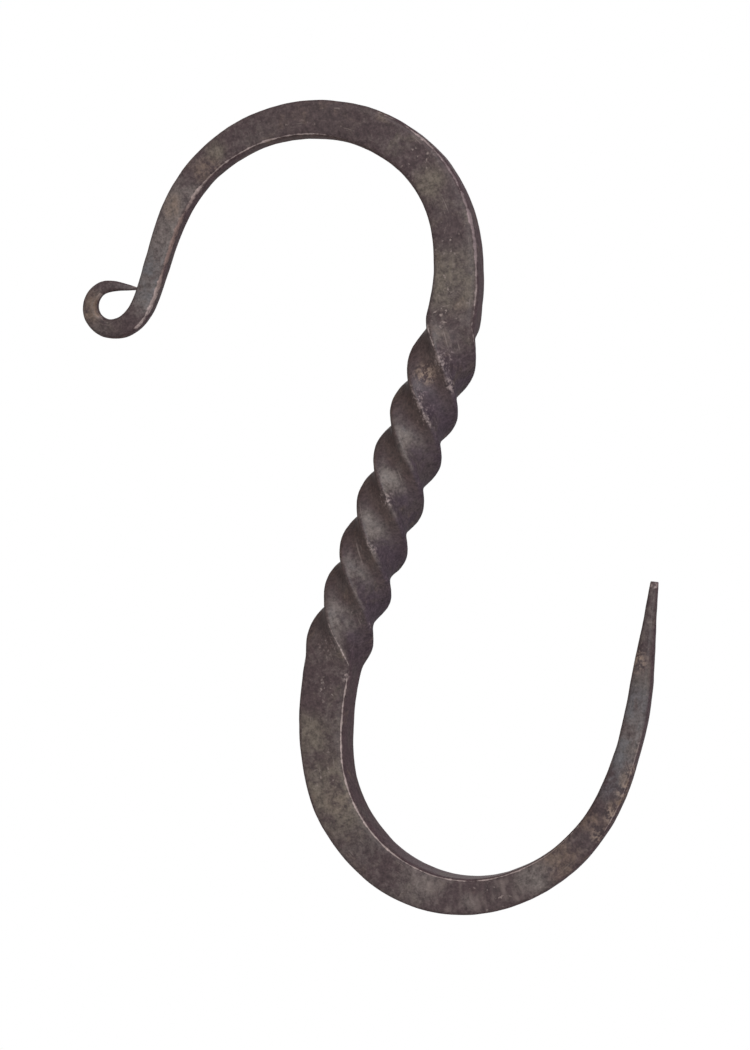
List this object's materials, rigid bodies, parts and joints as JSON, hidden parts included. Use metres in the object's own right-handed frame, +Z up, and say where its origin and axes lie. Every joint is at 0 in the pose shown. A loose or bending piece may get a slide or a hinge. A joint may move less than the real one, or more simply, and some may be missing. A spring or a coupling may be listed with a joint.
{
  "type": "s hook",
  "caption": "Hand-forged iron S hook of square bar with a twisted shank, a rolled curl at the upper end and a drawn point at the lower end.",
  "frame": {"origin": "rail seat: the highest point of the inner face of the upper hook, at mid depth of the bar", "axes": "+Z up along the plumb line from load seat to rail seat, +X towards the side where the lower hook opens, +Y away from the viewer, square to the upper hook's plane"},
  "size_m": [0.0915, 0.0142, 0.162],
  "materials": {
    "forged_iron": "dark forged scale, matte, edges worn"
  },
  "bodies": {
    "root": {"s_hook": "forged_iron"}
  },
  "joints": []
}
